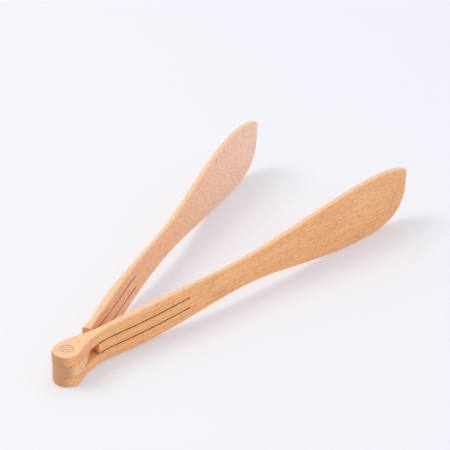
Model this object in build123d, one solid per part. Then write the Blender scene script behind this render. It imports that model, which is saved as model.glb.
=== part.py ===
"""Wooden spring tongs: two beech arms that cross at a dowel and spring open by themselves.

Every size is in millimetres.  The hinge axis is Z, and the origin is on it, at the underside of
the head.  The jaws open towards +X, with the fork arm on the -Y side and the tang arm on the +Y
side, as they stand when nobody squeezes them.

The fork arm ends in two ears, the tang arm in one knuckle that turns between them on the dowel.
Two long saw cuts divide each arm behind its head into three strips.  The strips that the head
does not use are left free at the hinge end: they are spring tongues.  Their ends press on the
neck of the other arm, so that squeezing the jaws bends them.  Each tongue is a node of its own,
rounded at its root, where it turns in a matching seat of its arm.
"""
from build123d import *
from math import cos, radians, sin, sqrt
import os

# ---- overall sizes ------------------------------------------------------------------------
arm_reach = 293.5          # hinge axis to the end of a jaw
rest_opening = 22.9        # degrees between the two arms when released
waist_from_end = 141.0     # slimmest place of an arm, behind its jaw

# ---- head ---------------------------------------------------------------------------------
head_radius = 8.4
head_height = 20.6
dowel_diameter = 8.0
knuckle_height = 7.3       # the middle layer of the head
side_clearance = 0.25      # between the knuckle and each ear
running_clearance = 0.05   # radial, between the dowel and the knuckle's bore

# ---- the three strips of an arm -----------------------------------------------------------
kerf_width = 0.8           # one saw cut
kerf_end = 92.0            # hinge axis to where the saw cuts stop
tongue_tip = 22.6          # hinge axis to the free end of a tongue
root_radius = 2.6          # rounded root of a tongue
root_clearance = 0.1       # between that root and its seat
tip_rounding = 0.5         # upright corners of a tongue's free end

# ---- where the outline leaves the round head, in degrees round it from the jaws' direction --
leave_inner = 90
leave_outer = -57

# ---- arm thickness, inner side first, measured from the line hinge axis to jaw end ---------
throat_station = 8.4       # the head runs on full on its inner side
throat_inner = 7.7
shoulder_outer_station = 12.0
shoulder_outer = 3.9
neck_station = 21.0
neck_inner = 4.72
neck_outer = 1.55
strip_station = 45.0
strip_inner = 2.95
strip_outer = 1.95
kerf_end_inner = 0.5
kerf_end_outer = 3.2
waist_inner = 0.45
waist_outer = 3.45
jaw_inner = 0.1
jaw_outer = 4.2
end_inner = 2.9
end_outer = 2.2
end_flare = 0.06           # slope of both sides at the jaw's end

# ---- arm height, up and down from the middle of the hinge ----------------------------------
strip_rise = 11.3
strip_drop = 11.6
kerf_end_rise = 10.95
kerf_end_drop = 11.2
waist_rise = 10.25
waist_drop = 10.5
jaw_rise = 19.1            # jaw_from_end before the end, where the jaw is broadest
jaw_drop = 22.9
jaw_from_end = 44.0
flank_from_end = 100.0     # half way from the waist to the broadest place
corner_rise = 11.6         # upper corner of the jaw
corner_slope = -0.42       # slope of the upper edge there
corner_rounding = 3.5
belly_from_end = 24.0      # the lower edge stays nearly as deep up to here
belly_drop = 22.56
sweep_from_end = 7.0       # and then sweeps up to the jaw's end
sweep_drop = 16.03
tip_drop = 2.29

# ---- rounded edges --------------------------------------------------------------------------
edge_rounding = 1.3

# ---- worked out from the sizes above --------------------------------------------------------
knuckle_half = knuckle_height / 2
ear_inside = knuckle_half + side_clearance
head_half = head_height / 2
waist_station = arm_reach - waist_from_end
jaw_station = arm_reach - jaw_from_end
flank_station = arm_reach - flank_from_end
root_middle = (kerf_end_inner - kerf_end_outer) / 2
root_half = (kerf_end_inner + kerf_end_outer) / 2
root_station = kerf_end - sqrt(root_radius ** 2 - root_half ** 2)
tall = 2 * (jaw_rise + jaw_drop)
wide = 4 * head_radius
NATURAL = (1, 1)           # a spline leaves its ends at the speed it keeps between its points


def on_head(degrees):
    """A point on the head's round outline."""
    return (head_radius * cos(radians(degrees)), head_radius * sin(radians(degrees)))


def along_head(degrees):
    """The direction of the head's outline there, turned towards the jaws on the inner side."""
    return (sin(radians(degrees)), -cos(radians(degrees)))


def plan_outline():
    """An arm seen along the hinge axis, with its inner side on +Y."""
    inner = Spline(
        on_head(leave_inner),
        (throat_station, throat_inner),
        (neck_station, neck_inner),
        (strip_station, strip_inner),
        (kerf_end, kerf_end_inner),
        (waist_station, waist_inner),
        (jaw_station, jaw_inner),
        (arm_reach, end_inner),
        tangents=[along_head(leave_inner), (1, end_flare)],
        tangent_scalars=NATURAL,
    )
    outer = Spline(
        on_head(leave_outer),
        (shoulder_outer_station, -shoulder_outer),
        (neck_station, -neck_outer),
        (strip_station, -strip_outer),
        (kerf_end, -kerf_end_outer),
        (waist_station, -waist_outer),
        (jaw_station, -jaw_outer),
        (arm_reach, -end_outer),
        tangents=[along_head(leave_outer + 180), (1, end_flare)],
        tangent_scalars=NATURAL,
    )
    end = Line(inner @ 1, outer @ 1)
    head = ThreePointArc(inner @ 0, (-head_radius, 0), outer @ 0)
    return make_face(Curve() + [inner, end, outer, head])


def side_outline():
    """An arm seen from its flat side: a level head, a slim waist and a paddle-shaped jaw."""
    level_from = -head_radius - 1
    level_to = head_radius
    top = Spline(
        (level_to, head_half),
        (strip_station, strip_rise),
        (kerf_end, kerf_end_rise),
        (waist_station, waist_rise),
        (flank_station, (waist_rise + jaw_rise) / 2),
        (jaw_station, jaw_rise),
        (arm_reach, corner_rise),
        tangents=[(1, 0), (1, corner_slope)],
        tangent_scalars=NATURAL,
    )
    bottom = Spline(
        (level_to, -head_half),
        (strip_station, -strip_drop),
        (kerf_end, -kerf_end_drop),
        (waist_station, -waist_drop),
        (flank_station, -(waist_drop + jaw_drop) / 2),
        (jaw_station, -jaw_drop),
        (arm_reach - belly_from_end, -belly_drop),
        (arm_reach - sweep_from_end, -sweep_drop),
        (arm_reach, -tip_drop),
        tangents=[(1, 0), (0, 1)],
        tangent_scalars=NATURAL,
    )
    end = Line(top @ 1, bottom @ 1)
    back_top = Line((level_from, head_half), top @ 0)
    back = Line((level_from, head_half), (level_from, -head_half))
    back_bottom = Line((level_from, -head_half), bottom @ 0)
    face = make_face(Curve() + [top, end, bottom, back_bottom, back, back_top])
    corner = face.vertices().sort_by_distance(top @ 1)[0]
    return fillet(corner, corner_rounding)


def arm_blank():
    """A whole arm before it is sawn and drilled, lying along +X with its edges rounded."""
    plan = extrude(Pos(0, 0, -tall) * plan_outline(), amount=2 * tall)
    side = extrude(Plane.XZ.offset(-wide) * side_outline(), amount=2 * wide)
    blank = plan & side
    upright = blank.edges().filter_by(Axis.Z).filter_by_position(Axis.X, -head_radius, head_radius * 2)
    return fillet(blank.edges() - upright, edge_rounding)


def layer(low, high, start, stop):
    """A slab between two heights and two places along the arm."""
    slab = Box(stop - start, 6 * head_radius, high - low)
    return Pos((start + stop) / 2, 0, (low + high) / 2) * slab


def root_disc(low, high, radius):
    """The round root of a tongue, or its seat, between two heights."""
    disc = Cylinder(radius, high - low)
    return Pos(root_station, root_middle, (low + high) / 2) * disc


def free_space(low, high):
    """What is sawn away so that a tongue, its kerfs and the other arm's head have room."""
    room = layer(low, high, -2 * head_radius, root_station)
    return room + root_disc(low, high, root_radius + root_clearance)


def tongue(blank, low, high):
    """One spring tongue between two heights, cut out of the blank."""
    strip = layer(low, high, tongue_tip, root_station) + root_disc(low, high, root_radius)
    piece = blank & strip
    tip = piece.faces().sort_by(Axis.X)[0]
    upright = [edge for edge in tip.edges() if abs((edge % 0.5).Z) > 0.99]
    return fillet(upright, tip_rounding)


def dowel_hole(radius):
    return Cylinder(radius, tall)


def fork_arm(blank):
    """The arm with two ears; its middle strip is free."""
    return blank - free_space(-ear_inside, ear_inside) - dowel_hole(dowel_diameter / 2)


def tang_arm(blank):
    """The arm with the knuckle; its upper and lower strips are free."""
    above = free_space(knuckle_half, tall)
    below = free_space(-tall, -knuckle_half)
    return blank - above - below - dowel_hole(dowel_diameter / 2 + running_clearance)


def hinge_dowel():
    return Cylinder(dowel_diameter / 2, head_height)


def main():
    blank = arm_blank()
    on_foot = Pos(0, 0, head_half)
    on_fork_side = on_foot * Rot(0, 0, -rest_opening / 2)
    on_tang_side = on_foot * Rot(0, 0, rest_opening / 2)
    centre_half = ear_inside - kerf_width
    outer_low = knuckle_half + kerf_width
    upper = mirror(tongue(blank, outer_low, tall), about=Plane.XZ)
    lower = mirror(tongue(blank, -tall, -outer_low), about=Plane.XZ)
    parts = {
        "fork_arm": on_fork_side * fork_arm(blank),
        "centre_tongue": on_fork_side * tongue(blank, -centre_half, centre_half),
        "hinge_dowel": on_foot * hinge_dowel(),
        "tang_arm": on_tang_side * mirror(tang_arm(blank), about=Plane.XZ),
        "upper_tongue": on_tang_side * upper,
        "lower_tongue": on_tang_side * lower,
    }
    os.makedirs("parts", exist_ok=True)
    for name, solid in parts.items():
        export_step(solid, f"parts/{name}.step")


main()
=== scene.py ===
"""Looks of the wooden spring tongs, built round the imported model.

Laid out as an add-on: sizes and colours in property groups, one operator for each piece or
group of like pieces, one for the stage, and a panel that lists them.  Shapes are worked out in
millimetres in an arm's own space: s runs from the hinge axis along the arm, y towards the other
arm, z up from the middle of the hinge.  Properties and finished meshes are in metres, and the
meshes stand in the row frame.
"""

import math

import bmesh
import bpy
import numpy as np
from mathutils import Matrix, Vector
from mathutils.bvhtree import BVHTree


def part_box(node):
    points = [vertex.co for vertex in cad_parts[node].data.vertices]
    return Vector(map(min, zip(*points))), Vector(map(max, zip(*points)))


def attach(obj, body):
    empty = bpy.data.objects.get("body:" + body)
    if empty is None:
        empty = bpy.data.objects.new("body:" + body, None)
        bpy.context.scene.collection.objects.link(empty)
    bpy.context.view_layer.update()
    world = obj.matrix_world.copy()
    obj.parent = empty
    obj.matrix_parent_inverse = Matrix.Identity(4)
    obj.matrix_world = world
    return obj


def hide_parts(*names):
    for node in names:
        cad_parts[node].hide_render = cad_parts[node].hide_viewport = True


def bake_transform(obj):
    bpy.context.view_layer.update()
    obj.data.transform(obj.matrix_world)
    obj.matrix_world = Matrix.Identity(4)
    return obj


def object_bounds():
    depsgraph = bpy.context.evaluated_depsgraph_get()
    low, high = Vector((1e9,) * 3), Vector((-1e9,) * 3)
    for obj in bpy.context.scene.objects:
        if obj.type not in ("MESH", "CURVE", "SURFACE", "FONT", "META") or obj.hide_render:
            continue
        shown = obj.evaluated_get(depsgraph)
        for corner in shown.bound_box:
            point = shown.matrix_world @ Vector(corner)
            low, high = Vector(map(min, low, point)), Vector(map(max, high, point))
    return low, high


bl_info = {
    "name": "Wooden spring tongs",
    "version": (1, 0, 0),
    "blender": (4, 5, 0),
    "location": "View3D > Sidebar > Tongs",
    "description": "Builds the visible pieces of a pair of beech spring tongs",
    "category": "Object",
}

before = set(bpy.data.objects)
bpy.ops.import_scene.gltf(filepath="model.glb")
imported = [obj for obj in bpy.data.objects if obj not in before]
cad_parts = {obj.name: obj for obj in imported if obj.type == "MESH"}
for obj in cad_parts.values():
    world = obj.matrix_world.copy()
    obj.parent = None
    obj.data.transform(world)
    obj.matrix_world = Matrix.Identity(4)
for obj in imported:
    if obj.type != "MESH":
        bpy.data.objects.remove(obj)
CAD_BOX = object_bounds()
MM = 0.001
DOWEL_LOW, DOWEL_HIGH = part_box("hinge_dowel")
HINGE_MIDDLE = (DOWEL_LOW.z + DOWEL_HIGH.z) / 2 / MM
HEAD_HALF = (DOWEL_HIGH.z - DOWEL_LOW.z) / 2 / MM
DOWEL_RADIUS = (DOWEL_HIGH.x - DOWEL_LOW.x) / 2 / MM
FORK, TANG = -1, 1          # which side of the row frame an arm lies on
BENDING_SHARE = 0.4         # a tongue bends over this share of its length, next to its root
EAR_CLEARANCE = 0.02        # keeps the faces apart where the dowel is really tight in the ears
KNUCKLE_CLEARANCE = 0.05    # round the dowel, which the knuckle turns on
BEYOND = 40                 # past every face of an arm, in height or width
BEHIND = -20                # past the back of the head, along an arm
RAY = 60                    # length of a ray that finds a face from outside
PROBE_SHARE = 0.7           # of the head's half height, where the ears have unbroken walls


# ---- colours ------------------------------------------------------------------------------

def linear(hex_colour):
    """An sRGB hex colour as linear RGBA."""
    channels = [int(hex_colour[i:i + 2], 16) / 255 for i in (1, 3, 5)]
    low = [c / 12.92 if c <= 0.04045 else ((c + 0.055) / 1.055) ** 2.4 for c in channels]
    return (*low, 1.0)


def hue(name, hex_colour, description):
    return bpy.props.FloatVectorProperty(
        name=name, subtype="COLOR", size=4, min=0, max=1,
        default=linear(hex_colour), description=description,
    )


class TongsSizes(bpy.types.PropertyGroup):
    rest_opening: bpy.props.FloatProperty(
        name="Rest opening", default=math.radians(22.9), subtype="ANGLE",
        description="Angle between the two arms when nobody squeezes them",
    )
    kerf_width: bpy.props.FloatProperty(
        name="Kerf width", default=0.8 * MM, unit="LENGTH", description="Width of one saw cut",
    )
    edge_rounding: bpy.props.FloatProperty(
        name="Edge rounding", default=1.3 * MM, unit="LENGTH",
        description="Radius of the sanded edges",
    )
    belly_rounding: bpy.props.FloatProperty(
        name="Belly rounding", default=3.6 * MM, unit="LENGTH",
        description="Height of the fuller rounding under the jaws",
    )
    ring_spacing: bpy.props.FloatProperty(
        name="Growth ring spacing", default=3.2 * MM, unit="LENGTH",
        description="Distance between growth rings",
    )
    dowel_easing: bpy.props.FloatProperty(
        name="Dowel easing", default=0.25 * MM, unit="LENGTH",
        description="Width of the eased edge at both ends of the dowel",
    )


class TongsColours(bpy.types.PropertyGroup):
    fork_light: hue("Fork arm, pale wood", "#FFC185", "Pale wood of the fork arm")
    fork_dark: hue("Fork arm, dark wood", "#F1A967", "Darker streaks of the fork arm")
    tang_light: hue("Tang arm, pale wood", "#FFCE9F", "Pale wood of the tang arm")
    tang_dark: hue("Tang arm, dark wood", "#F8B77F", "Darker streaks of the tang arm")
    # painted sheen: a paler, pinker tint towards the jaws that stands in for the sheen of the white
    # surroundings on the tang arm's inner face
    painted_sheen: hue("Jaw blush", "#FFDAC6", "Pinker wood that the stick has towards the jaw")
    # painted highlight: the narrow edges above and below are paler, standing in for the light and sheen
    # that the upward faces catch
    fork_edge_highlight: hue("Fork arm, edges", "#F6CBA4", "Narrow edges of the fork arm, cut along the rays")
    tang_edge_highlight: hue("Tang arm, edges", "#F1C49B", "Narrow edges of the tang arm, cut along the rays")
    end_wood: hue("End grain", "#C48D62", "Wood cut across, which drinks more oil")
    fleck: hue("Ray flecks", "#A5672F", "Short brown dashes of the rays")
    # painted shade: the saw-cut walls get this dark brown in place of the shade deep in the kerfs
    sawn: hue("Saw cuts", "#9C6236", "Walls of the saw cuts, browned by the blade")
    dowel_light: hue("Dowel, pale wood", "#E6C09B", "End grain between the rings")
    dowel_dark: hue("Dowel, dark wood", "#CB9E78", "End grain of the rings")
    floor: hue("Table", "#D0D1D3", "Plain pale table")
    floor_glow: hue("Table glow", "#F0F1FF", "Light that comes up through the table")
    studio: hue("Studio", "#F2F4F9", "Light from all round")
    key: hue("Key light", "#FFF5E8", "Light of the soft box")


# ---- an arm's own space -------------------------------------------------------------------

def arm_matrix(side):
    """From an arm's own space, in millimetres, to the row frame, in metres."""
    half = bpy.context.scene.tongs_sizes.rest_opening / 2
    along = Vector((math.cos(half), side * math.sin(half), 0))
    inward = Vector((math.sin(half), -side * math.cos(half), 0))
    turn = Matrix((along, inward, (0, 0, 1))).transposed().to_4x4()
    return Matrix.Scale(MM, 4) @ Matrix.Translation((0, 0, HINGE_MIDDLE)) @ turn


class Blank:
    """The shape of an arm before it is sawn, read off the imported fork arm."""

    def __init__(self):
        to_arm = arm_matrix(FORK).inverted()
        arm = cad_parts["fork_arm"].data
        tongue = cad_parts["centre_tongue"].data
        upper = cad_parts["upper_tongue"].data
        corners = [to_arm @ v.co for v in arm.vertices]
        faces = [tuple(p.vertices) for p in arm.polygons]
        self.tree = BVHTree.FromPolygons(corners, faces)
        self.reach = max(c.x for c in corners)
        self.head_radius = -min(c.x for c in corners)
        of_tongue = [to_arm @ v.co for v in tongue.vertices]
        self.tongue_tip = min(c.x for c in of_tongue)
        self.kerf_end = max(c.x for c in of_tongue)
        self.tongue_half = max(c.z for c in of_tongue)
        self.outer_low = min((to_arm @ v.co).z for v in upper.vertices)
        self.probe = PROBE_SHARE * HEAD_HALF
        # stations lie closer together at the neck, which curves more, than from the strips on
        stations = np.concatenate([
            np.arange(self.head_radius - 3, 48, 4.0), np.linspace(50, self.reach - 0.5, 27)])
        inner = [self.hit((s, RAY, self.probe), (0, -1, 0)).y for s in stations]
        outer = [self.hit((s, -RAY, self.probe), (0, 1, 0)).y for s in stations]
        self.inner = flowing(stations, inner)
        self.outer = flowing(stations, outer)
        # the jaw's end is too steep to be read from above and below
        edge = stations[stations < self.reach - 6]
        self.top = flowing(edge, [self.edge(s, 1) for s in edge])
        self.bottom = flowing(edge, [self.edge(s, -1) for s in edge])

    def hit(self, start, towards):
        return self.tree.ray_cast(Vector(start), Vector(towards))[0]

    def middle(self, s):
        return (self.inner(s) + self.outer(s)) / 2

    def edge(self, s, up):
        """Height of the upper or lower edge at a station; the head is level."""
        if s < self.head_radius:
            return up * HEAD_HALF
        return self.hit((s, self.middle(s), up * RAY), (0, 0, -up)).z

    def head_top(self, s):
        return self.top(s) if s > self.head_radius else HEAD_HALF

    def head_bottom(self, s):
        return self.bottom(s) if s > self.head_radius else -HEAD_HALF

    def on_inner(self, point, inset):
        """The point moved onto the inner face, or that far inside it."""
        return Vector((point.x, self.inner(min(point.x, self.reach)) - inset, point.z))

    def on_outer(self, point, inset):
        return Vector((point.x, self.outer(min(point.x, self.reach)) + inset, point.z))

    def head_outline(self, start, turns):
        """Plan outline from the inner side of the neck round the head to its outer side."""
        neck = np.arange(start, self.head_radius - 1, -NECK_STEP)
        inner = [Vector((s, self.inner(s), 0)) for s in neck]
        outer = [Vector((s, self.outer(s), 0)) for s in neck[::-1]]
        begin = math.atan2(inner[-1].y, inner[-1].x)
        end = math.atan2(outer[0].y, outer[0].x) + 2 * math.pi
        count = turns - 2 * len(neck) + 1
        middle = []
        for i in range(1, count + 1):
            angle = begin + (end - begin) * i / (count + 1)
            out = Vector((math.cos(angle), math.sin(angle), 0))
            found = self.hit(out * RAY + Vector((0, 0, self.probe)), -out)
            middle.append(Vector((found.x, found.y, 0)))
        return inner + middle + outer

    def jaw_outline(self, start, turns):
        """Side outline from the upper edge round the jaw's end to the lower edge, as (s, z)."""
        centre = Vector((start, self.middle(start), 0))
        lean = (self.middle(self.reach - 1) - self.middle(start)) / (self.reach - 1 - start)
        points = []
        for i in range(turns + 1):
            angle = math.pi / 2 - math.pi * i / turns
            out = Vector((math.cos(angle), lean * math.cos(angle), math.sin(angle)))
            found = self.hit(centre + out * RAY, -out)
            points.append(Vector((found.x, 0, found.z)))
        return points


def flowing(stations, values):
    """A smooth curve through the values, as a function of the station."""
    stations, values = np.array(stations, float), np.array(values, float)
    slopes = np.gradient(values, stations)

    def at(s):
        i = int(np.clip(np.searchsorted(stations, s) - 1, 0, len(stations) - 2))
        span = stations[i + 1] - stations[i]
        t = (s - stations[i]) / span
        start = values[i] * (2 * t ** 3 - 3 * t ** 2 + 1) + slopes[i] * span * (t ** 3 - 2 * t ** 2 + t)
        end = values[i + 1] * (3 * t ** 2 - 2 * t ** 3) + slopes[i + 1] * span * (t ** 3 - t ** 2)
        return float(start + end)

    return at


# ---- mesh building ------------------------------------------------------------------------

CORNER = 6       # faces round a sanded edge
ACROSS = 3       # faces across the flat of a narrow edge
HIGH = 24        # faces up a broad side
HEAD_TURNS = 75  # faces round the head, from one side of the neck to the other
JAW_TURNS = 84   # faces round the jaw's end, from the upper edge to the lower
NECK_STEP = 1.6  # length of a face along the neck
RING_STEP = 2    # length of a face along the arm
HEAD_START = 24.0          # the head's faces turn round it from here
JAW_END_LENGTH = 30.0      # the jaw's faces turn round its end over this length
BELLY_FROM, BELLY_TO = 0.4, 0.7    # shares of the reach between which the belly fills out
ROUND_FROM, ROUND_TO = 0.35, 0.75  # and of the turn round the jaw's end, from above


class Shell:
    """Vertices and faces of a closed shape, in an arm's own space."""

    def __init__(self):
        self.points = []
        self.faces = []

    def add(self, point):
        self.points.append(Vector(point))
        return len(self.points) - 1

    def row(self, points):
        return [self.add(p) for p in points]

    def weave(self, first, second):
        """Quads between two rows of the same length."""
        for a, b, c, d in zip(first, first[1:], second[1:], second):
            self.faces.append((a, b, c, d))

    def patch(self, left, right, first, last, settle):
        """A grid between four rows of vertices; settle puts each new point on the surface."""
        rows, columns = len(left) - 1, len(first) - 1
        p = self.points
        previous = first
        for i in range(1, rows + 1):
            u = i / rows
            if i == rows:
                current = last
            else:
                current = [left[i]]
                for c in range(1, columns):
                    v = c / columns
                    sides = p[left[i]] * (1 - v) + p[right[i]] * v
                    ends = p[first[c]] * (1 - u) + p[last[c]] * u
                    corners = (p[first[0]] * (1 - v) + p[first[-1]] * v) * (1 - u)
                    corners = corners + (p[last[0]] * (1 - v) + p[last[-1]] * v) * u
                    current.append(self.add(settle(sides + ends - corners)))
                current.append(right[i])
            self.weave(previous, current)
            previous = current

    def cap(self, rim, first, across, settle):
        """Closes a rounded end: a patch inside its rim, with that many faces across."""
        side = (len(rim) - 1 - across) // 2
        self.patch(rim[:side + 1], rim[::-1][:side + 1], first, rim[side:side + across + 1], settle)


def arc(count):
    """Both shares of a quarter circle's radius at each step, without its two ends."""
    turns = [math.pi / 2 * i / count for i in range(1, count)]
    return [(1 - math.cos(t), 1 - math.sin(t)) for t in turns]


def outward(chain, i, up):
    """Normal of a chain of points at one of them, in its plane, pointing out of the shape."""
    before, after = chain[max(i - 1, 0)], chain[min(i + 1, len(chain) - 1)]
    return (after - before).cross(up).normalized()


def blank_shell(blank, sizes):
    """A whole arm with sanded edges, as one closed shell of quads."""
    shell = Shell()
    jaw_start = blank.reach - JAW_END_LENGTH
    steps = int((jaw_start - HEAD_START) / RING_STEP)
    rings = [ring(shell, blank, s, sizes) for s in np.linspace(HEAD_START, jaw_start, steps)]
    for one, other in zip(rings, rings[1:]):
        shell.weave(one["loop"], other["loop"])
    add_head(shell, blank, rings[0], HEAD_START, sizes.edge_rounding / MM)
    add_jaw_end(shell, blank, rings[-1], jaw_start, sizes)
    return shell


def eased(share, start, stop):
    """0 up to start, 1 from stop on, and smooth between."""
    t = min(max((share - start) / (stop - start), 0), 1)
    return t * t * (3 - 2 * t)


def belly(blank, s, sizes):
    """Height of the rounding along the lower edge, which is fuller under the jaw."""
    least, most = sizes.edge_rounding / MM, sizes.belly_rounding / MM
    return least + (most - least) * eased(s / blank.reach, BELLY_FROM, BELLY_TO)


def ring(shell, blank, s, sizes):
    """The rounded section of an arm at one station."""
    yi, yo, zt, zb = blank.inner(s), blank.outer(s), blank.top(s), blank.bottom(s)
    r, low_r = sizes.edge_rounding / MM, belly(blank, s, sizes)
    steps = arc(CORNER)
    top = shell.row([(s, y, zt) for y in np.linspace(yi - r, yo + r, ACROSS + 1)])
    top_outer = shell.row([(s, yo + r * inset, zt - r * drop) for drop, inset in steps])
    outer = shell.row([(s, yo, z) for z in np.linspace(zt - r, zb + low_r, HIGH + 1)])
    low_outer = shell.row([(s, yo + r * inset, zb + low_r * rise) for inset, rise in steps])
    low = shell.row([(s, y, zb) for y in np.linspace(yo + r, yi - r, ACROSS + 1)])
    low_inner = shell.row([(s, yi - r * inset, zb + low_r * rise) for rise, inset in steps])
    inner = shell.row([(s, yi, z) for z in np.linspace(zb + low_r, zt - r, HIGH + 1)])
    top_inner = shell.row([(s, yi - r * inset, zt - r * drop) for inset, drop in steps])
    loop = top + top_outer + outer + low_outer + low + low_inner + inner + top_inner
    return {
        "loop": loop + loop[:1], "top": top, "low": low, "outer": outer, "inner": inner,
        "inner_side": top[:1] + top_inner[::-1] + inner[::-1] + low_inner[::-1] + low[-1:],
        "outer_side": top[-1:] + top_outer + outer + low_outer + low[:1],
        "top_side": inner[-1:] + top_inner + top + top_outer + outer[:1],
        "low_side": inner[:1] + low_inner[::-1] + low[::-1] + low_outer[::-1] + outer[-1:],
    }


def add_head(shell, blank, start_ring, start, r):
    """The round head: a wall round the plan outline, with a level face above and below."""
    up = Vector((0, 0, 1))
    chain = blank.head_outline(start, HEAD_TURNS)
    columns = [start_ring["inner_side"]]
    for i in range(1, len(chain) - 1):
        here, out = chain[i], outward(chain, i, up)
        top, low = blank.head_top(here.x), blank.head_bottom(here.x)
        column = [here - out * r + up * top]
        column += [here - out * (r * inset) + up * (top - r * drop) for drop, inset in arc(CORNER)]
        column += [here + up * z for z in np.linspace(top - r, low + r, HIGH + 1)]
        column += [here - out * (r * inset) + up * (low + r * rise) for inset, rise in arc(CORNER)]
        column += [here - out * r + up * low]
        columns.append(shell.row(column))
    columns.append(start_ring["outer_side"])
    for one, other in zip(columns, columns[1:]):
        shell.weave(one, other)
    for at, first, height in (
        (0, start_ring["top"], blank.head_top), (-1, start_ring["low"][::-1], blank.head_bottom)):
        rim = [column[at] for column in columns]
        shell.cap(rim, first, ACROSS, lambda p, height=height: Vector((p.x, p.y, height(p.x))))


def add_jaw_end(shell, blank, end_ring, start, sizes):
    """The rounded end of a jaw: an edge round the side outline, between the two broad faces."""
    r = sizes.edge_rounding / MM
    fuller = belly(blank, start, sizes) - r
    chain = blank.jaw_outline(start, JAW_TURNS)
    columns = [end_ring["top_side"]]
    for i in range(1, len(chain) - 1):
        here, out = chain[i], outward(chain, i, Vector((0, 1, 0)))
        deep = r + fuller * eased(i / JAW_TURNS, ROUND_FROM, ROUND_TO)
        column = [blank.on_inner(here - out * deep, 0)]
        column += [blank.on_inner(here - out * (deep * drop), r * inset) for inset, drop in arc(CORNER)]
        flat = np.linspace(blank.inner(here.x) - r, blank.outer(here.x) + r, ACROSS + 1)
        column += [here + Vector((0, y, 0)) for y in flat]
        column += [blank.on_outer(here - out * (deep * drop), r * inset) for drop, inset in arc(CORNER)]
        column += [blank.on_outer(here - out * deep, 0)]
        columns.append(shell.row(column))
    columns.append(end_ring["low_side"])
    for one, other in zip(columns, columns[1:]):
        shell.weave(one, other)
    for at, first, face in (
        (0, end_ring["inner"][::-1], blank.on_inner), (-1, end_ring["outer"], blank.on_outer)):
        rim = [column[at] for column in columns]
        shell.cap(rim, first, HIGH, lambda p, face=face: face(p, 0))


def shell_object(name, shell, side):
    """A mesh object of a shell, moved into the row frame, facing outwards."""
    to_row = arm_matrix(side)
    mesh = bpy.data.meshes.new(name)
    mesh.from_pydata([to_row @ p for p in shell.points], [], shell.faces)
    made = bpy.data.objects.new(name, mesh)
    bpy.context.scene.collection.objects.link(made)
    tidy(made)
    return made


def tidy(made, sharp=math.radians(32)):
    """Merges doubles, turns the faces outwards, and shades smoothly except at real corners."""
    work = bmesh.new()
    work.from_mesh(made.data)
    bmesh.ops.remove_doubles(work, verts=work.verts, dist=0.00001)
    bmesh.ops.recalc_face_normals(work, faces=work.faces)
    for face in work.faces:
        face.smooth = True
    for edge in work.edges:
        edge.smooth = edge.calc_face_angle(0) < sharp
    work.to_mesh(made.data)
    work.free()


def slab(side, low, high, start, stop):
    """A closed block between two heights and two stations, for cutting."""
    to_row = arm_matrix(side)
    work = bmesh.new()
    made = bmesh.ops.create_cube(work, size=1)
    fit = Matrix.Diagonal((stop - start, BEYOND, high - low, 1))
    place = Matrix.Translation(((start + stop) / 2, 0, (low + high) / 2))
    bmesh.ops.transform(work, matrix=to_row @ place @ fit, verts=made["verts"])
    return cutter(work)


def peg(radius):
    """A closed cylinder round the hinge axis, for drilling."""
    work = bmesh.new()
    made = bmesh.ops.create_cone(
        work, cap_ends=True, segments=96, radius1=radius, radius2=radius, depth=2 * BEYOND)
    place = Matrix.Scale(MM, 4) @ Matrix.Translation((0, 0, HINGE_MIDDLE))
    bmesh.ops.transform(work, matrix=place, verts=made["verts"])
    return cutter(work)


def cutter(work):
    bmesh.ops.recalc_face_normals(work, faces=work.faces)
    mesh = bpy.data.meshes.new("cutter")
    work.to_mesh(mesh)
    work.free()
    made = bpy.data.objects.new("cutter", mesh)
    bpy.context.scene.collection.objects.link(made)
    return made


def cut(made, tool, how):
    """Cuts with a tool and forgets the tool."""
    step = made.modifiers.new("cut", "BOOLEAN")
    step.operation = how
    step.solver = "EXACT"
    step.object = tool
    apply_modifiers(made)
    bpy.data.objects.remove(tool)


def apply_modifiers(made):
    """Replaces the mesh with what its modifiers make of it."""
    graph = bpy.context.evaluated_depsgraph_get()
    mesh = bpy.data.meshes.new_from_object(made.evaluated_get(graph))
    made.modifiers.clear()
    made.data = mesh


def mark_sawn(made, heights, ends, side):
    """Gives the sawn walls, level ones and butts, the second material slot, which paints shade into the
    kerfs.
    """
    to_arm = arm_matrix(side).inverted()
    near = 0.02
    for face in made.data.polygons:
        centre = to_arm @ face.center
        level = any(abs(centre.z - h) < near for h in heights) and abs(face.normal.z) > 0.9
        butt = any(abs(centre.x - e) < near for e in ends)
        face.material_index = 1 if level or butt else 0


# ---- materials ----------------------------------------------------------------------------

def node(tree, kind, links=None, **settings):
    """Adds a node with its settings; links fills its inputs from other nodes or with values."""
    made = tree.nodes.new(kind)
    for key, value in settings.items():
        setattr(made, key, value)
    for key, value in (links or {}).items():
        if isinstance(value, bpy.types.Node):
            value = [output for output in value.outputs if output.enabled][0]
        if isinstance(value, bpy.types.NodeSocket):
            tree.links.new(value, made.inputs[key])
        else:
            made.inputs[key].default_value = value
    return made


def fresh_material(name):
    made = bpy.data.materials.new(name)
    made.use_nodes = True
    made.node_tree.nodes.clear()
    return made, made.node_tree


def grain_size(along, across, shift):
    """Mapping inputs that fit a figure to that length and width in millimetres."""
    return {
        "Scale": (1 / (along * MM), 1 / (across * MM), 1 / (across * MM)),
        "Location": (shift, shift * 1.7, shift * 0.6),
    }


def streaks(tree, where, along, across, detail=2.0, shift=0.0, roughness=0.5):
    """Soft streaks of that length and width, in millimetres, lying along the grain."""
    fitted = node(tree, "ShaderNodeMapping", {"Vector": where, **grain_size(along, across, shift)})
    return node(tree, "ShaderNodeTexNoise", {
        "Vector": fitted, "Scale": 1.0, "Detail": detail, "Roughness": roughness})


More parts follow.
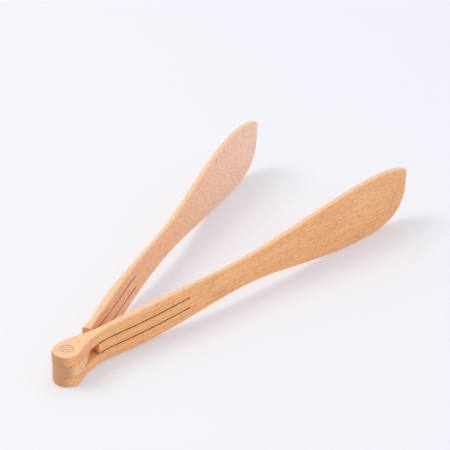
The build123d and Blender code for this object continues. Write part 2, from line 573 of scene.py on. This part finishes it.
def dashes(tree, where, along, across, core, shift=0.0):
    """Separate spindle-shaped marks along the grain: 1 in a mark, 0 between them."""
    fitted = node(tree, "ShaderNodeMapping", {"Vector": where, **grain_size(along, across, shift)})
    cells = node(tree, "ShaderNodeTexVoronoi", {"Vector": fitted, "Scale": 1.0, "Randomness": 1.0})
    return node(tree, "ShaderNodeMapRange", {
        "Value": cells, "From Min": core, "From Max": core * 1.7, "To Min": 1.0, "To Max": 0.0},
        interpolation_type="SMOOTHSTEP")


def weighed(tree, *terms):
    """Sum of (value, weight) pairs."""
    total = 0.0
    for value, weight in terms:
        total = node(tree, "ShaderNodeMath", {0: value, 1: weight, 2: total}, operation="MULTIPLY_ADD")
    return total


def grain_space(tree, side):
    """Coordinates whose X runs along the arm, and how far a face is end grain or narrow edge."""
    coordinates = node(tree, "ShaderNodeTexCoord").outputs
    half = side * bpy.context.scene.tongs_sizes.rest_opening / 2
    where = node(tree, "ShaderNodeMapping", {
        "Vector": coordinates["Object"], "Rotation": (0, 0, -half)})
    facing = node(tree, "ShaderNodeVectorMath", {
        0: coordinates["Normal"], 1: (math.cos(half), math.sin(half), 0)}, operation="DOT_PRODUCT")
    cut_across = node(tree, "ShaderNodeMath", {0: facing}, operation="ABSOLUTE")
    end_grain = node(tree, "ShaderNodeMapRange", {
        "Value": cut_across, "From Min": 0.35, "From Max": 0.95}, interpolation_type="SMOOTHSTEP")
    upright = node(tree, "ShaderNodeSeparateXYZ", {0: coordinates["Normal"]}).outputs["Z"]
    level = node(tree, "ShaderNodeMath", {0: upright}, operation="ABSOLUTE")
    edge = node(tree, "ShaderNodeMapRange", {
        "Value": level, "From Min": 0.45, "From Max": 0.8}, interpolation_type="SMOOTHSTEP")
    return where, end_grain, edge


def beech(name, side, light, dark, edge_highlight, painted_sheen, seed):
    """Steamed beech, planed, sanded and lightly oiled: a warm even tan with faint streaks along the
    arm, hair-fine fibres, and the short brown ray flecks that mark beech. The narrow edges above and
    below carry a painted highlight, paler and more pink, the jaws a painted sheen, more pink towards
    the tip, and the end grain, which drinks more oil, is browner."""
    sizes, colours = bpy.context.scene.tongs_sizes, bpy.context.scene.tongs_colours
    made, tree = fresh_material(name)
    where, end_grain, edge = grain_space(tree, side)
    parts = node(tree, "ShaderNodeSeparateXYZ", {0: where}).outputs
    # growth rings are planes nearly along the arm, leaning and wavering a little
    waver = streaks(tree, where, 90, 14, 1.5, seed)
    depth = weighed(tree, (parts["Z"], 1.0), (parts["Y"], 0.9), (waver, 9.0 * MM))
    turns = node(tree, "ShaderNodeMath", {
        0: depth, 1: 2 * math.pi / sizes.ring_spacing}, operation="MULTIPLY")
    swing = node(tree, "ShaderNodeMath", {0: turns}, operation="SINE")
    rings = node(tree, "ShaderNodeMapRange", {
        "Value": swing, "From Min": -0.4, "From Max": 1.0}, interpolation_type="SMOOTHSTEP")
    band = streaks(tree, where, 70, 1.7, 2.0, seed + 5)
    fibre = streaks(tree, where, 14, 0.5, 3.0, seed + 3, 0.65)
    mottle = streaks(tree, where, 38, 9, 2.0, seed + 7)
    tone = node(tree, "ShaderNodeMapRange", {
        "Value": weighed(tree, (rings, 0.10), (band, 0.40), (fibre, 0.45), (mottle, 0.45)),
        "From Min": 0.42, "From Max": 0.95}, interpolation_type="SMOOTHSTEP")
    # ray flecks: about 3 mm long and 0.5 mm wide, drawn a little wide so that they show
    fleck = dashes(tree, where, 6.0, 0.95, 0.19, seed + 11)
    fine = dashes(tree, where, 4.0, 0.6, 0.17, seed + 13)
    crowd = weighed(tree, (edge, -0.65), (mottle, 0.6), (1.0, 0.65))
    marks = node(tree, "ShaderNodeMath", {
        0: weighed(tree, (fleck, 0.50), (fine, 0.28)), 1: crowd}, operation="MULTIPLY")
    broad = node(tree, "ShaderNodeMix", {0: tone, 6: light, 7: dark}, data_type="RGBA")
    # painted sheen: towards the jaw the broad faces turn paler and pinker, standing in for the grazing
    # sheen that they catch there
    sheen_towards_jaw = node(tree, "ShaderNodeMapRange", {
        "Value": parts["X"], "From Min": 0.12, "From Max": 0.27, "To Max": painted_sheen},
        interpolation_type="SMOOTHSTEP")
    with_painted_sheen = node(tree, "ShaderNodeMix", {0: sheen_towards_jaw, 6: broad, 7: colours.painted_sheen}, data_type="RGBA")
    faint_tone = weighed(tree, (tone, 0.35))
    # painted highlight: the narrow edges above and below get a paler colour in place of the light and
    # sheen on the upward faces
    narrow = node(tree, "ShaderNodeMix", {0: faint_tone, 6: edge_highlight, 7: light}, data_type="RGBA")
    edge_highlight_share = weighed(tree, (edge, 0.85))
    with_edge_highlight = node(tree, "ShaderNodeMix", {0: edge_highlight_share, 6: with_painted_sheen, 7: narrow}, data_type="RGBA")
    end_share = weighed(tree, (end_grain, 0.9))
    ended = node(tree, "ShaderNodeMix", {0: end_share, 6: with_edge_highlight, 7: colours.end_wood}, data_type="RGBA")
    colour = node(tree, "ShaderNodeMix", {0: marks, 6: ended, 7: colours.fleck}, data_type="RGBA")
    # oiled and handled: a soft sheen, a little duller on the flecks and the end grain
    rough = weighed(tree, (1.0, 0.38), (marks, 0.15), (end_grain, 0.12), (fibre, 0.06))
    height = weighed(tree, (fibre, 0.6), (marks, -0.8))
    bump = node(tree, "ShaderNodeBump", {"Strength": 0.25, "Distance": 0.06 * MM, "Height": height})
    shader = node(tree, "ShaderNodeBsdfPrincipled", {
        "Base Color": colour, "Roughness": rough, "IOR": 1.5, "Metallic": 0.0, "Normal": bump})
    node(tree, "ShaderNodeOutputMaterial", {"Surface": shader})
    return made


def sawn_beech_kerf_shade(name, side, light, seed):
    """Beech as the saw leaves it, matt and fuzzy; the walls of the kerfs get a dark brown that is
    painted shade, standing in for the shade deep in the narrow cuts. The open slot beside the knuckle
    is filed clean and keeps the wood's own colour."""
    colours = bpy.context.scene.tongs_colours
    made, tree = fresh_material(name)
    where = grain_space(tree, side)[0]
    fuzz = streaks(tree, where, 4, 0.6, 3.0, seed)
    along = node(tree, "ShaderNodeSeparateXYZ", {0: where}).outputs["X"]
    tip = kept("blank", Blank).tongue_tip
    kerf_shade_mask = node(tree, "ShaderNodeMapRange", {
        "Value": along, "From Min": (tip - 1) * MM, "From Max": (tip + 1) * MM},
        interpolation_type="SMOOTHSTEP")
    # painted shade: a mottled dark brown on the kerf walls stands in for the shade in the narrow cuts
    browned = node(tree, "ShaderNodeMapRange", {
        "Value": fuzz, "From Min": 0.35, "From Max": 0.75}, interpolation_type="SMOOTHSTEP")
    kerf_painted_shade = node(tree, "ShaderNodeMix", {
        0: browned, 6: colours.sawn, 7: colours.fork_dark}, data_type="RGBA")
    filed = weighed(tree, (fuzz, 0.8))
    slot = node(tree, "ShaderNodeMix", {0: filed, 6: light, 7: colours.fork_dark}, data_type="RGBA")
    colour = node(tree, "ShaderNodeMix", {0: kerf_shade_mask, 6: slot, 7: kerf_painted_shade}, data_type="RGBA")
    bump = node(tree, "ShaderNodeBump", {"Strength": 0.4, "Distance": 0.1 * MM, "Height": fuzz})
    shader = node(tree, "ShaderNodeBsdfPrincipled", {
        "Base Color": colour, "Roughness": 0.8, "IOR": 1.5, "Normal": bump})
    node(tree, "ShaderNodeOutputMaterial", {"Surface": shader})
    return made


def dowel_beech():
    """A beech dowel sanded flush across its end: faint arcs of growth rings and fine pores,
    duller and a little greyer than the wood round it."""
    sizes, colours = bpy.context.scene.tongs_sizes, bpy.context.scene.tongs_colours
    made, tree = fresh_material("turned_beech_end_grain")
    where = node(tree, "ShaderNodeTexCoord").outputs["Object"]
    # the tree's heart lies well outside the dowel, so its rings cross the end as arcs
    moved = node(tree, "ShaderNodeMapping", {"Vector": where, "Location": (0.021, 0.014, 0)})
    parts = node(tree, "ShaderNodeSeparateXYZ", {0: moved}).outputs
    flat = node(tree, "ShaderNodeCombineXYZ", {"X": parts["X"], "Y": parts["Y"]})
    far = node(tree, "ShaderNodeVectorMath", {0: flat}, operation="LENGTH")
    waver = streaks(tree, flat, 3, 3, 2.0, 2.0)
    turns = node(tree, "ShaderNodeMath", {
        0: weighed(tree, (far, 1.0), (waver, 1.2 * MM)),
        1: 2 * math.pi / (0.6 * sizes.ring_spacing)}, operation="MULTIPLY")
    swing = node(tree, "ShaderNodeMath", {0: turns}, operation="SINE")
    rings = node(tree, "ShaderNodeMapRange", {
        "Value": swing, "From Min": -0.3, "From Max": 1.0}, interpolation_type="SMOOTHSTEP")
    pores = streaks(tree, where, 0.5, 0.5, 1.0, 5.0)
    blotch = streaks(tree, where, 2.5, 2.5, 1.0, 8.0)
    tone = node(tree, "ShaderNodeMapRange", {
        "Value": weighed(tree, (rings, 0.22), (pores, 0.5), (blotch, 0.5)),
        "From Min": 0.35, "From Max": 1.05}, interpolation_type="SMOOTHSTEP")
    colour = node(tree, "ShaderNodeMix", {
        0: tone, 6: colours.dowel_light, 7: colours.dowel_dark}, data_type="RGBA")
    bump = node(tree, "ShaderNodeBump", {"Strength": 0.3, "Distance": 0.05 * MM, "Height": pores})
    shader = node(tree, "ShaderNodeBsdfPrincipled", {
        "Base Color": colour, "Roughness": 0.62, "IOR": 1.5, "Normal": bump})
    node(tree, "ShaderNodeOutputMaterial", {"Surface": shader})
    return made


def table_top():
    """A translucent white acrylic table lit a little from below, so that its shadows stay pale."""
    colours = bpy.context.scene.tongs_colours
    made, tree = fresh_material("opal_acrylic_table")
    shader = node(tree, "ShaderNodeBsdfPrincipled", {
        "Base Color": colours.floor, "Roughness": 0.8, "IOR": 1.49,
        "Emission Color": colours.floor_glow, "Emission Strength": bpy.context.scene.tongs_stage.glow})
    node(tree, "ShaderNodeOutputMaterial", {"Surface": shader})
    return made


# ---- operators ----------------------------------------------------------------------------

MADE = {}        # materials and shapes that several pieces share


def kept(key, make):
    """Makes a material or shape once and keeps it for the other pieces."""
    if key not in MADE:
        MADE[key] = make()
    return MADE[key]


def fork_beech():
    colours = bpy.context.scene.tongs_colours
    return beech("steamed_beech_fork", FORK, colours.fork_light, colours.fork_dark,
                 colours.fork_edge_highlight, 0.0, 1.0)


def tang_beech():
    colours = bpy.context.scene.tongs_colours
    return beech("steamed_beech_tang", TANG, colours.tang_light, colours.tang_dark,
                 colours.tang_edge_highlight, 0.65, 23.0)


def fork_sawn():
    return sawn_beech_kerf_shade("sawn_beech_kerf_shade_fork", FORK, bpy.context.scene.tongs_colours.fork_light, 4.0)


def tang_sawn():
    return sawn_beech_kerf_shade("sawn_beech_kerf_shade_tang", TANG, bpy.context.scene.tongs_colours.tang_light, 9.0)


def blank_object(name, side):
    """A whole arm in its place, ready to be sawn."""
    blank = kept("blank", Blank)
    shell = kept("shell", lambda: blank_shell(blank, bpy.context.scene.tongs_sizes))
    made = shell_object(name, shell, side)
    for make in (fork_beech, fork_sawn) if side == FORK else (tang_beech, tang_sawn):
        made.data.materials.append(kept(make.__name__, make))
    return made, blank


class TONGS_OT_fork_arm(bpy.types.Operator):
    """The arm whose outer strips end in the two ears"""
    bl_idname = "tongs.fork_arm"
    bl_label = "Fork arm"

    def execute(self, context):
        made, blank = blank_object("fork_arm_beech", FORK)
        ear_inside = blank.tongue_half + context.scene.tongs_sizes.kerf_width / MM
        cut(made, slab(FORK, -ear_inside, ear_inside, BEHIND, blank.kerf_end), "DIFFERENCE")
        cut(made, peg(DOWEL_RADIUS + EAR_CLEARANCE), "DIFFERENCE")
        tidy(made)
        mark_sawn(made, (-ear_inside, ear_inside), (blank.kerf_end,), FORK)
        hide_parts("fork_arm")
        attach(made, "fork_arm")
        return {"FINISHED"}


class TONGS_OT_tang_arm(bpy.types.Operator):
    """The arm whose middle strip ends in the knuckle"""
    bl_idname = "tongs.tang_arm"
    bl_label = "Tang arm"

    def execute(self, context):
        made, blank = blank_object("tang_arm_beech", TANG)
        knuckle_half = blank.outer_low - context.scene.tongs_sizes.kerf_width / MM
        for low, high in ((knuckle_half, BEYOND), (-BEYOND, -knuckle_half)):
            cut(made, slab(TANG, low, high, BEHIND, blank.kerf_end), "DIFFERENCE")
        cut(made, peg(DOWEL_RADIUS + KNUCKLE_CLEARANCE), "DIFFERENCE")
        tidy(made)
        mark_sawn(made, (-knuckle_half, knuckle_half), (blank.kerf_end,), TANG)
        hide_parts("tang_arm")
        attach(made, "tang_arm")
        return {"FINISHED"}


class TONGS_OT_spring_tongues(bpy.types.Operator):
    """The three sawn strips that spring the tongs open"""
    bl_idname = "tongs.spring_tongues"
    bl_label = "Spring tongues"

    def execute(self, context):
        blank = kept("blank", Blank)
        half, low = blank.tongue_half, blank.outer_low
        for node_name, side, arm, bottom, top in (
            ("centre_tongue", FORK, "fork_arm", -half, half),
            ("upper_tongue", TANG, "tang_arm", low, BEYOND),
            ("lower_tongue", TANG, "tang_arm", -BEYOND, -low),
        ):
            made, _ = blank_object(node_name + "_beech", side)
            cut(made, slab(side, bottom, top, blank.tongue_tip, blank.kerf_end), "INTERSECT")
            tidy(made)
            mark_sawn(made, (bottom, top), (blank.tongue_tip, blank.kerf_end), side)
            to_row = arm_matrix(side)
            root = to_row @ Vector((blank.kerf_end, blank.middle(blank.kerf_end), 0))
            bending = BENDING_SHARE * (blank.kerf_end - blank.tongue_tip)
            straight = to_row @ Vector((blank.kerf_end - bending, blank.middle(blank.kerf_end), 0))
            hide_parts(node_name)
            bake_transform(made)
        return {"FINISHED"}


def dowel_tree():
    """Geometry Nodes tree of a turned peg: a line swept by a circle, its ends eased."""
    tree = bpy.data.node_groups.new("turned_peg", "GeometryNodeTree")
    face = tree.interface
    for label in ("Radius", "Length", "Easing"):
        face.new_socket(name=label, in_out="INPUT", socket_type="NodeSocketFloat")
    face.new_socket(name="Material", in_out="INPUT", socket_type="NodeSocketMaterial")
    face.new_socket(name="Geometry", in_out="OUTPUT", socket_type="NodeSocketGeometry")
    given = node(tree, "NodeGroupInput").outputs
    half = node(tree, "ShaderNodeMath", {0: given["Length"], 1: 0.5}, operation="MULTIPLY")
    inset = node(tree, "ShaderNodeMath", {0: given["Radius"], 1: given["Easing"]}, operation="SUBTRACT")
    shoulder = node(tree, "ShaderNodeMath", {0: half, 1: given["Easing"]}, operation="SUBTRACT")
    lower = node(tree, "ShaderNodeMath", {0: shoulder, 1: -1.0}, operation="MULTIPLY")
    bottom = node(tree, "ShaderNodeMath", {0: half, 1: -1.0}, operation="MULTIPLY")
    stations = ((bottom, inset), (lower, given["Radius"]), (shoulder, given["Radius"]), (half, inset))
    line = node(tree, "GeometryNodeMeshLine", {"Count": len(stations)}, mode="OFFSET")
    index = node(tree, "GeometryNodeInputIndex")
    heights = node(tree, "GeometryNodeIndexSwitch", {"Index": index}, data_type="FLOAT")
    widths = node(tree, "GeometryNodeIndexSwitch", {"Index": index}, data_type="FLOAT")
    for switch in (heights, widths):
        while len(switch.index_switch_items) < len(stations):
            switch.index_switch_items.new()
    for i, (height, width) in enumerate(stations):
        tree.links.new(height.outputs[0], heights.inputs[str(i)])
        at = width.outputs[0] if isinstance(width, bpy.types.Node) else width
        tree.links.new(at, widths.inputs[str(i)])
    place = node(tree, "ShaderNodeCombineXYZ", {"Z": heights})
    placed = node(tree, "GeometryNodeSetPosition", {"Geometry": line, "Position": place})
    path = node(tree, "GeometryNodeMeshToCurve", {0: placed})
    sized = node(tree, "GeometryNodeSetCurveRadius", {"Curve": path, "Radius": widths})
    circle = node(tree, "GeometryNodeCurvePrimitiveCircle", {"Resolution": 72, "Radius": 1.0})
    swept = node(tree, "GeometryNodeCurveToMesh", {
        "Curve": sized, "Profile Curve": circle.outputs["Curve"], "Scale": widths, "Fill Caps": True})
    solid = node(tree, "GeometryNodeRealizeInstances", {0: swept})
    finish = node(tree, "GeometryNodeSetMaterial", {"Geometry": solid, "Material": given["Material"]})
    node(tree, "NodeGroupOutput", {0: finish})
    return tree


def set_input(modifier, tree, name, value):
    """Sets a modifier's input by its socket's identifier."""
    socket = [i for i in tree.interface.items_tree if i.name == name and i.in_out == "INPUT"][0]
    modifier[socket.identifier] = value


class TONGS_OT_hinge_dowel(bpy.types.Operator):
    """The round peg through the head, flush with both ears"""
    bl_idname = "tongs.hinge_dowel"
    bl_label = "Hinge dowel"

    def execute(self, context):
        mesh = bpy.data.meshes.new("hinge_dowel_beech")
        made = bpy.data.objects.new("hinge_dowel_beech", mesh)
        context.scene.collection.objects.link(made)
        tree = dowel_tree()
        step = made.modifiers.new("peg", "NODES")
        step.node_group = tree
        set_input(step, tree, "Radius", DOWEL_RADIUS * MM)
        set_input(step, tree, "Length", 2 * HEAD_HALF * MM)
        set_input(step, tree, "Easing", context.scene.tongs_sizes.dowel_easing)
        set_input(step, tree, "Material", kept("dowel_beech", dowel_beech))
        apply_modifiers(made)
        made.data.transform(Matrix.Translation((0, 0, HINGE_MIDDLE * MM)))
        tidy(made)
        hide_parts("hinge_dowel")
        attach(made, "fork_arm")
        return {"FINISHED"}


# ---- stage --------------------------------------------------------------------------------

class TongsStage(bpy.types.PropertyGroup):
    camera_place: bpy.props.FloatVectorProperty(
        name="Camera place", size=3, subtype="TRANSLATION", unit="LENGTH",
        default=(-0.6266, -0.4988, 0.5794), description="Camera in the row frame",
    )
    camera_heading: bpy.props.FloatProperty(
        name="Heading", default=math.radians(32.36), subtype="ANGLE",
        description="Way that the camera looks, turned from +X towards +Y",
    )
    camera_fall: bpy.props.FloatProperty(
        name="Fall", default=math.radians(30.92), subtype="ANGLE",
        description="How far the camera looks down from level",
    )
    camera_roll: bpy.props.FloatProperty(
        name="Roll", default=math.radians(1.22), subtype="ANGLE",
        description="Turn of the camera about its line of sight",
    )
    lens: bpy.props.FloatProperty(
        name="Lens", default=140.65, description="Focal length in millimetres on a 36 mm frame",
    )
    table_half: bpy.props.FloatProperty(
        name="Table half width", default=8.0, unit="LENGTH", description="From its middle to an edge",
    )
    glow: bpy.props.FloatProperty(
        name="Table glow", default=0.26, description="Strength of the light from below the table",
    )
    studio: bpy.props.FloatProperty(
        name="Studio light", default=0.93, description="Strength of the light from all round",
    )
    key_direction: bpy.props.FloatVectorProperty(
        name="Key direction", size=3, subtype="XYZ", default=(-0.30, 0.49, 0.82),
        description="Way from the tongs to the soft box",
    )
    key_distance: bpy.props.FloatProperty(
        name="Key distance", default=2.4, unit="LENGTH", description="From the tongs to the soft box",
    )
    key_width: bpy.props.FloatProperty(
        name="Key width", default=1.2, unit="LENGTH", description="Width of the square soft box",
    )
    key_power: bpy.props.FloatProperty(
        name="Key power", default=19.0, unit="POWER", description="Power of the soft box",
    )


def resting_plane():
    """(place, tilt) of the table: the head's back edge and the jaws' lowest edges touch it."""
    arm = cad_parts["fork_arm"].data
    rounding = bpy.context.scene.tongs_sizes.edge_rounding
    back = rounding - kept("blank", Blank).head_radius * MM
    beyond_strips = 0.1
    fall = min(v.co.z / (v.co.x - back) for v in arm.vertices if v.co.x > beyond_strips)
    return Vector((back, 0, 0)), math.atan(-fall)


def place_camera(stage):
    heading, fall, roll = stage.camera_heading, stage.camera_fall, stage.camera_roll
    level = Vector((math.cos(heading), math.sin(heading), 0))
    ahead = level * math.cos(fall) - Vector((0, 0, math.sin(fall)))
    right = Vector((math.sin(heading), -math.cos(heading), 0))
    up = right.cross(ahead)
    rolled_right = right * math.cos(roll) + up * math.sin(roll)
    rolled_up = up * math.cos(roll) - right * math.sin(roll)
    data = bpy.data.cameras.new("camera")
    data.lens = stage.lens
    data.sensor_width = 36
    data.clip_end = 20
    camera = bpy.data.objects.new("camera", data)
    turn = Matrix((rolled_right, rolled_up, -ahead)).transposed().to_4x4()
    camera.matrix_world = Matrix.Translation(stage.camera_place) @ turn
    bpy.context.scene.collection.objects.link(camera)
    bpy.context.scene.camera = camera


def place_soft_box(stage):
    """A square soft box that shines at the middle of the tongs."""
    data = bpy.data.lights.new("key", "AREA")
    data.shape = "SQUARE"
    data.size = stage.key_width
    data.energy = stage.key_power
    data.color = bpy.context.scene.tongs_colours.key[:3]
    box = bpy.data.objects.new("key", data)
    out = stage.key_direction.normalized()
    box.location = (CAD_BOX[0] + CAD_BOX[1]) / 2 + out * stage.key_distance
    box.rotation_mode = "QUATERNION"
    box.rotation_quaternion = (-out).to_track_quat("-Z", "Y")
    bpy.context.scene.collection.objects.link(box)


class TONGS_OT_stage(bpy.types.Operator):
    """A plain pale table, soft studio light and the camera"""
    bl_idname = "tongs.stage"
    bl_label = "Stage"

    def execute(self, context):
        scene = context.scene
        stage = scene.tongs_stage
        place, tilt = resting_plane()
        wide = stage.table_half
        mesh = bpy.data.meshes.new("table_top")
        corners = [(-wide, -wide, 0), (wide, -wide, 0), (wide, wide, 0), (-wide, wide, 0)]
        lie = Matrix.Translation(place) @ Matrix.Rotation(tilt, 4, "Y")
        mesh.from_pydata([lie @ Vector(c) for c in corners], [], [(0, 1, 2, 3)])
        mesh.materials.append(table_top())
        floor = bpy.data.objects.new("table_top", mesh)
        scene.collection.objects.link(floor)
        world = bpy.data.worlds.new("studio")
        world.use_nodes = True
        background = world.node_tree.nodes["Background"].inputs
        background["Color"].default_value = scene.tongs_colours.studio
        background["Strength"].default_value = stage.studio
        scene.world = world
        scene.view_settings.view_transform = "Standard"
        place_soft_box(stage)
        place_camera(stage)
        return {"FINISHED"}


class TONGS_PT_panel(bpy.types.Panel):
    """Lists the steps that build the tongs"""
    bl_idname = "TONGS_PT_panel"
    bl_label = "Wooden spring tongs"
    bl_space_type = "VIEW_3D"
    bl_region_type = "UI"
    bl_category = "Tongs"

    def draw(self, context):
        for step in STEPS:
            self.layout.operator(step.bl_idname)
        for name in GROUPS:
            group = getattr(context.scene, name)
            for key in group.__annotations__:
                self.layout.prop(group, key)


STEPS = (
    TONGS_OT_stage,
    TONGS_OT_fork_arm,
    TONGS_OT_tang_arm,
    TONGS_OT_spring_tongues,
    TONGS_OT_hinge_dowel,
)
GROUPS = {"tongs_sizes": TongsSizes, "tongs_colours": TongsColours, "tongs_stage": TongsStage}


def register():
    for group in GROUPS.values():
        bpy.utils.register_class(group)
    for name, group in GROUPS.items():
        setattr(bpy.types.Scene, name, bpy.props.PointerProperty(type=group))
    for step in (*STEPS, TONGS_PT_panel):
        bpy.utils.register_class(step)


def unregister():
    for step in (TONGS_PT_panel, *reversed(STEPS)):
        bpy.utils.unregister_class(step)
    for name, group in GROUPS.items():
        delattr(bpy.types.Scene, name)
        bpy.utils.unregister_class(group)


def main():
    register()
    bpy.ops.tongs.stage()
    bpy.ops.tongs.fork_arm()
    bpy.ops.tongs.tang_arm()
    bpy.ops.tongs.spring_tongues()
    bpy.ops.tongs.hinge_dowel()


if __name__ == "__main__":
    main()
